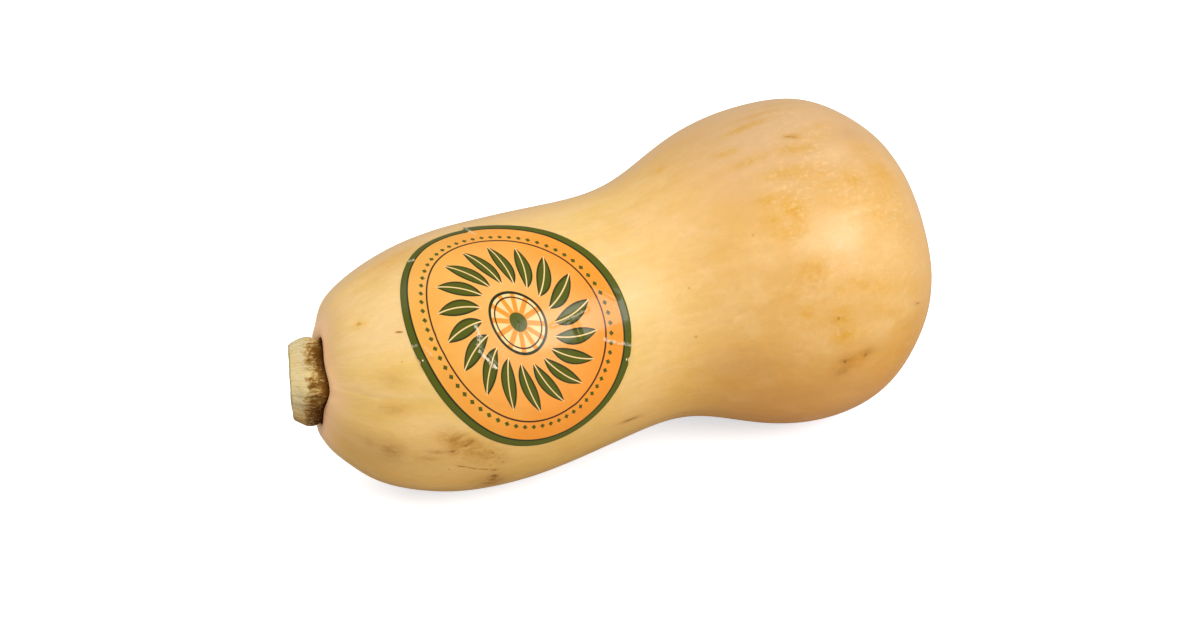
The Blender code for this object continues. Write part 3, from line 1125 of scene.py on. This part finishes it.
STEM_STRAW = colour(0.74, 0.56, 0.25)
STEM_GREY = colour(0.69, 0.56, 0.31)
STEM_OLIVE = colour(0.36, 0.27, 0.08)
STEM_UNDERSIDE_SHADE_TINT = colour(0.54, 0.44, 0.34)
STEM_GOLD = colour(0.46, 0.27, 0.07)
STEM_BROWN = colour(0.16, 0.06, 0.002)
# Painted glints on the stem's corky skin
STEM_GLINT_GOLD = colour(0.80, 0.58, 0.24)
CUT_WOOD = colour(0.55, 0.41, 0.20)
PITH_BROWN = colour(0.12, 0.07, 0.03)
TO_SHADED_UNDERSIDE = (0.046, 0.036)

# Patterns of the stem: size in millimetres, detail, roughness, seed and stretch along the stem
STEM_FIBRES = (0.8, 4.0, 0.65, 1.0, 7.0)
STEM_PATCHES = (5.0, 4.0, 0.6, 2.0, 1.2)
STEM_FLECKS = (1.1, 4.0, 0.7, 3.0, 1.3)
STEM_GLINT_FLECKS = (0.7, 3.0, 0.65, 6.0, 1.4)
WOOD_RAYS = (1.2, 3.0, 0.6, 5.0)


def cut_wood(finish, place, radius):
    """Pale wood of the cut end, with a brown pith."""
    rays = finish.noise(place, *WOOD_RAYS)
    wood = finish.mix(finish.share(rays, 0.3, 0.7, 0.0, 0.7), CUT_WOOD, STEM_OLIVE)
    return finish.mix(finish.share(radius, PITH_RADIUS + 0.6, PITH_RADIUS - 1.0), wood, PITH_BROWN)


def stem_material():
    """Dry ridged stem: dark brown at the fruit, then golden brown, then straw, with a pale cut end.
    Painted shade makes it browner in its valleys and darker underneath, a painted shadow darkens its
    foot, and painted glints fleck it with pale gold.
    """
    finish = Finish("squash_stem")
    place = finish.attribute("grain", "Vector")
    along = finish.parts(place)[0]
    fibres = finish.noise(place, *STEM_FIBRES)
    patches = finish.noise(place, *STEM_PATCHES)
    flecks = finish.noise(place, *STEM_FLECKS)
    glint_flecks = finish.noise(place, *STEM_GLINT_FLECKS)
    out = finish.plus(along, finish.share(patches, 0.3, 0.7, -1.6, 1.6))
    out = finish.plus(out, finish.share(flecks, 0.3, 0.7, -1.3, 1.3))
    # Painted shade: browner in the valleys, at the heel and underneath
    out = finish.minus(out, finish.attribute("browner_in_shade"))
    pale = finish.mix(finish.share(patches, 0.4, 0.6), STEM_GREY, STEM_STRAW)
    tone = finish.mix(finish.share(out, 0.2, 2.8), STEM_BROWN, STEM_GOLD)
    tone = finish.mix(finish.share(out, 1.6, 4.0), tone, pale)
    tone = finish.mix(finish.share(fibres, 0.5, 0.28, 0.0, 0.4), tone, STEM_OLIVE)
    # Painted shade: darker towards the underside of the stem
    tone = finish.tinted(finish.share(finish.height(), *TO_SHADED_UNDERSIDE), tone, STEM_UNDERSIDE_SHADE_TINT)
    # Painted glints: pale gold flecks on the bark
    tone = finish.mix(finish.share(glint_flecks, 0.54, 0.72, 0.0, 0.5), tone, STEM_GLINT_GOLD)
    # Painted shadow: dark red-brown at the stem's foot, in the crease against the fruit
    tone = finish.mix(finish.share(along, 0.5, -0.5), tone, CREASE_SHADOW_RED)
    on_cut, radius, _ = finish.parts(finish.attribute("cut_place", "Vector"))
    relief = finish.plus(fibres, finish.plus(flecks, finish.times(glint_flecks, 0.5)))
    finish.shade(
        Base_Color=finish.mix(on_cut, tone, cut_wood(finish, place, radius)),
        Roughness=0.6,
        Specular_IOR_Level=0.12,
        Normal=finish.bumps(relief, 0.6, 0.9),
    )
    return finish.material


PRINT_ORANGE = colour(0.82, 0.39, 0.066)
PRINT_DEEP = colour(0.86, 0.29, 0.027)
PRINT_GREEN = colour(0.085, 0.096, 0.006)
PRINT_DARK = colour(0.022, 0.03, 0.008)
PRINT_KEYLINE = colour(0.06, 0.022, 0.008)
PRINT_CREAM = colour(0.90, 0.62, 0.27)
BARE_PAPER = colour(0.88, 0.75, 0.56)

# Printed design: a green rim, a border of small points and a wreath of leaves round a rosette
RIM_WIDTH = 2.5
LINE_WIDTH = 0.3
PRINT_BLUR = 0.08
DESIGN_RADIUS = 40.0
BORDER_RADIUS = 32.6
BORDER_POINTS = 64
BORDER_LINE_INSET = 2.0
LEAF_COUNT = 18
LEAF_MIDDLE = 20.0
LEAF_HALF_LENGTH = 7.6
LEAF_HALF_WIDTH = 2.7
LEAF_SLANT = 0.35
DISC_RADIUS = 9.5
DISC_MIDDLE = 3.0
DISC_LINE_INSET = 1.6
PETAL_COUNT = 12

# Patterns of the paper: size in millimetres, detail, roughness and seed
PRINT_BLOTCHES = (14.0, 2.0)
PAPER_RIPPLES = (5.0, 2.0)
WORN_FLAKES = (1.4, 4.0, 0.75, 2.0)


class PrintFinish(Finish):
    """The sticker's material, with places on its printed design."""

    def __init__(self):
        super().__init__("sticker_paper")
        self.place = self.attribute("print_place", "Vector")
        self.across, self.up, self.edge = self.parts(self.place)
        wide = self.math("DIVIDE", self.across, STICKER_HALF_WIDTH)
        tall = self.math("DIVIDE", self.up, STICKER_HALF_HEIGHT)
        self.turn = self.math("ARCTAN2", tall, wide)
        reach = self.math("SQRT", self.plus(self.times(wide, wide), self.times(tall, tall)))
        self.out = self.times(reach, DESIGN_RADIUS)

    def repeated(self, count, turn):
        """Distance round the design from the middle of the nearest of several equal sectors."""
        sector = math.tau / count
        return self.times(self.math("WRAP", turn, sector / 2, -sector / 2), self.out)

    def below(self, value, limit):
        """1 where the value is under the limit, 0 past it, with a print's soft edge between."""
        return self.share(value, limit + PRINT_BLUR, limit - PRINT_BLUR)

    def line_at(self, value, middle, half_width):
        return self.below(self.distance(value, middle), half_width)

    def ground(self):
        """Orange that deepens towards one side, paler round the design's middle."""
        blotches = self.share(self.noise(self.place, *PRINT_BLOTCHES), 0.3, 0.7, -16.0, 16.0)
        fade = self.share(self.plus(self.plus(self.across, self.up), blotches), -50.0, 40.0)
        tone = self.mix(fade, PRINT_ORANGE, PRINT_DEEP)
        return self.mix(self.share(self.out, 36.0, 10.0, 0.0, 0.25), tone, PRINT_CREAM)

    def wreath(self, tone):
        """Slanted green leaves with a dark outline and a pale midrib."""
        along = self.minus(self.out, LEAF_MIDDLE)
        slanted = self.plus(self.turn, self.times(along, LEAF_SLANT / LEAF_MIDDLE))
        from_midrib = self.math("ABSOLUTE", self.repeated(LEAF_COUNT, slanted))
        tip = self.math("DIVIDE", along, LEAF_HALF_LENGTH)
        taper = self.minus(1.0, self.times(tip, tip))
        inside = self.minus(self.times(taper, LEAF_HALF_WIDTH), from_midrib)
        leaf = self.mix(self.share(inside, 0.2, 0.9), PRINT_DARK, PRINT_GREEN)
        leaf = self.mix(self.share(from_midrib, 0.3, 0.12), leaf, PRINT_CREAM)
        return self.mix(self.share(inside, -PRINT_BLUR, PRINT_BLUR), tone, leaf)

    def rosette(self, tone):
        """Cream disc with orange rays, two dark rings and a green middle."""
        rays = self.line_at(self.repeated(PETAL_COUNT, self.turn), 0.0, 0.8)
        disc = self.mix(rays, PRINT_CREAM, PRINT_DEEP)
        middle = self.share(self.out, DISC_MIDDLE + 0.1, DISC_MIDDLE - 0.1)
        disc = self.mix(middle, disc, PRINT_GREEN)
        disc = self.mix(self.line_at(self.out, DISC_RADIUS - DISC_LINE_INSET, 0.25), disc, PRINT_KEYLINE)
        tone = self.mix(self.below(self.out, DISC_RADIUS), tone, disc)
        return self.mix(self.line_at(self.out, DISC_RADIUS, 0.45), tone, PRINT_DARK)

    def border(self, tone):
        """A thin line, a ring of small green points and the green rim with a dark line inside it."""
        line = self.line_at(self.out, BORDER_RADIUS - BORDER_LINE_INSET, LINE_WIDTH)
        tone = self.mix(line, tone, PRINT_KEYLINE)
        from_point = self.math("ABSOLUTE", self.repeated(BORDER_POINTS, self.turn))
        diamond = self.plus(self.distance(self.out, BORDER_RADIUS), from_point)
        tone = self.mix(self.share(diamond, 1.0, 0.84), tone, PRINT_GREEN)
        tone = self.mix(self.below(self.edge, RIM_WIDTH), tone, PRINT_GREEN)
        return self.mix(self.line_at(self.edge, RIM_WIDTH, LINE_WIDTH), tone, PRINT_DARK)

    def worn(self):
        """Up to 1 where the ink is gone: in ragged flakes along the creases, and in the nicks."""
        away, wear, torn = self.parts(self.attribute("crease", "Vector"))
        flakes = self.share(self.noise(self.place, *WORN_FLAKES), 0.3, 0.7, 0.7, -0.4)
        creased = self.times(self.share(self.plus(away, flakes), 0.8, 0.1), wear)
        return self.larger(creased, self.share(torn, 0.55, 0.75))


def paper_material():
    """Glossy printed paper with the ink worn off along its creases."""
    paper = PrintFinish()
    worn = paper.worn()
    tone = paper.border(paper.rosette(paper.wreath(paper.ground())))
    ripples = paper.plus(paper.noise(paper.place, *PAPER_RIPPLES), paper.times(worn, 0.1))
    paper.shade(
        Base_Color=paper.mix(worn, tone, BARE_PAPER),
        Roughness=0.34,
        Specular_IOR_Level=0.15,
        Coat_Weight=0.18,
        Coat_Roughness=0.14,
        Normal=paper.bumps(ripples, 0.5, 0.6),
    )
    return paper.material


FLOOR_LIGHT = colour(0.92, 0.92, 0.92)
FLOOR_DARK = colour(0.90, 0.90, 0.90)
FLOOR_BOUNCE = colour(0.5, 0.48, 0.46)
FLOOR_GLOW = colour(0.90, 0.95, 1.0)
FLOOR_GLOW_STRENGTH = 0.6
FLOOR_MOTTLES = (3.0, 3.0)


def floor_material():
    """Matt pale paper."""
    finish = Finish("pale_floor")
    place = finish.scaled(finish.object_place(), 1.0 / MM)
    mottle = finish.share(finish.noise(place, *FLOOR_MOTTLES), 0.3, 0.7)
    seen = finish.node("LightPath", {}).outputs["Is Camera Ray"]
    pale = finish.mix(mottle, FLOOR_DARK, FLOOR_LIGHT)
    finish.shade(
        Base_Color=finish.mix(seen, FLOOR_BOUNCE, pale),
        Roughness=0.9,
        Specular_IOR_Level=0.1,
        Emission_Color=FLOOR_GLOW,
        Emission_Strength=finish.times(seen, FLOOR_GLOW_STRENGTH),
    )
    return finish.material


def make_floor():
    half = FLOOR_SIZE / 2
    corners = [(-half, -half, 0.0), (half, -half, 0.0), (half, half, 0.0), (-half, half, 0.0)]
    mesh = bpy.data.meshes.new("floor")
    mesh.from_pydata(corners, [], [(0, 1, 2, 3)])
    mesh.materials.append(floor_material())
    floor = add_object("floor", mesh)


def camera_aim():
    return Vector((CAMERA_AIM + REST_PLACE) * MM)


def camera_axes():
    """The camera's right, up and backward directions."""
    flat = math.cos(CAMERA_ELEVATION)
    sine = math.sin(CAMERA_AZIMUTH)
    cosine = math.cos(CAMERA_AZIMUTH)
    back = Vector((sine * flat, -cosine * flat, math.sin(CAMERA_ELEVATION)))
    right = Vector((cosine, sine, 0.0))
    return right, back.cross(right), back


def add_camera():
    right, up, back = camera_axes()
    data = bpy.data.cameras.new("camera")
    data.lens = CAMERA_LENS
    data.sensor_width = SENSOR_WIDTH
    camera = add_object("camera", data)
    aim = camera_aim() + right * CAMERA_SHIFT_RIGHT + up * CAMERA_SHIFT_UP
    camera.location = aim + back * CAMERA_DISTANCE
    camera.rotation_euler = back.to_track_quat("Z", "Y").to_euler()
    bpy.context.scene.camera = camera


def add_surround():
    """An even pale surround, dimmer in reflections, as a room with separate lamps would be."""
    world = bpy.data.worlds.new("surround")
    world.use_nodes = True
    tree = world.node_tree
    ray = tree.nodes.new("ShaderNodeLightPath")
    strength = tree.nodes.new("ShaderNodeMapRange")
    strength.inputs["To Min"].default_value = SURROUND
    strength.inputs["To Max"].default_value = MIRRORED_SURROUND
    tree.links.new(ray.outputs["Is Glossy Ray"], strength.inputs["Value"])
    background = tree.nodes["Background"]
    background.inputs["Color"].default_value = colour(1.0, 1.0, 1.0)
    tree.links.new(strength.outputs[0], background.inputs["Strength"])
    bpy.context.scene.world = world


def add_light():
    right, up, back = camera_axes()
    for name, direction, width, height, power in SOFT_LIGHTS:
        toward = (right * direction[0] + up * direction[1] + back * direction[2]).normalized()
        data = bpy.data.lights.new(name, "AREA")
        data.shape = "RECTANGLE"
        data.size = width
        data.size_y = height
        data.energy = power
        light = add_object(name, data)
        light.location = camera_aim() + toward * LIGHT_DISTANCE
        light.rotation_euler = toward.to_track_quat("Z", "Y").to_euler()
    add_surround()


def set_colours():
    """Plain display colours, so that the white floor stays white."""
    view = bpy.context.scene.view_settings
    view.view_transform = "Standard"
    view.look = "None"


make_fruit()
make_stem()
make_sticker()
make_floor()
add_camera()
add_light()
set_colours()
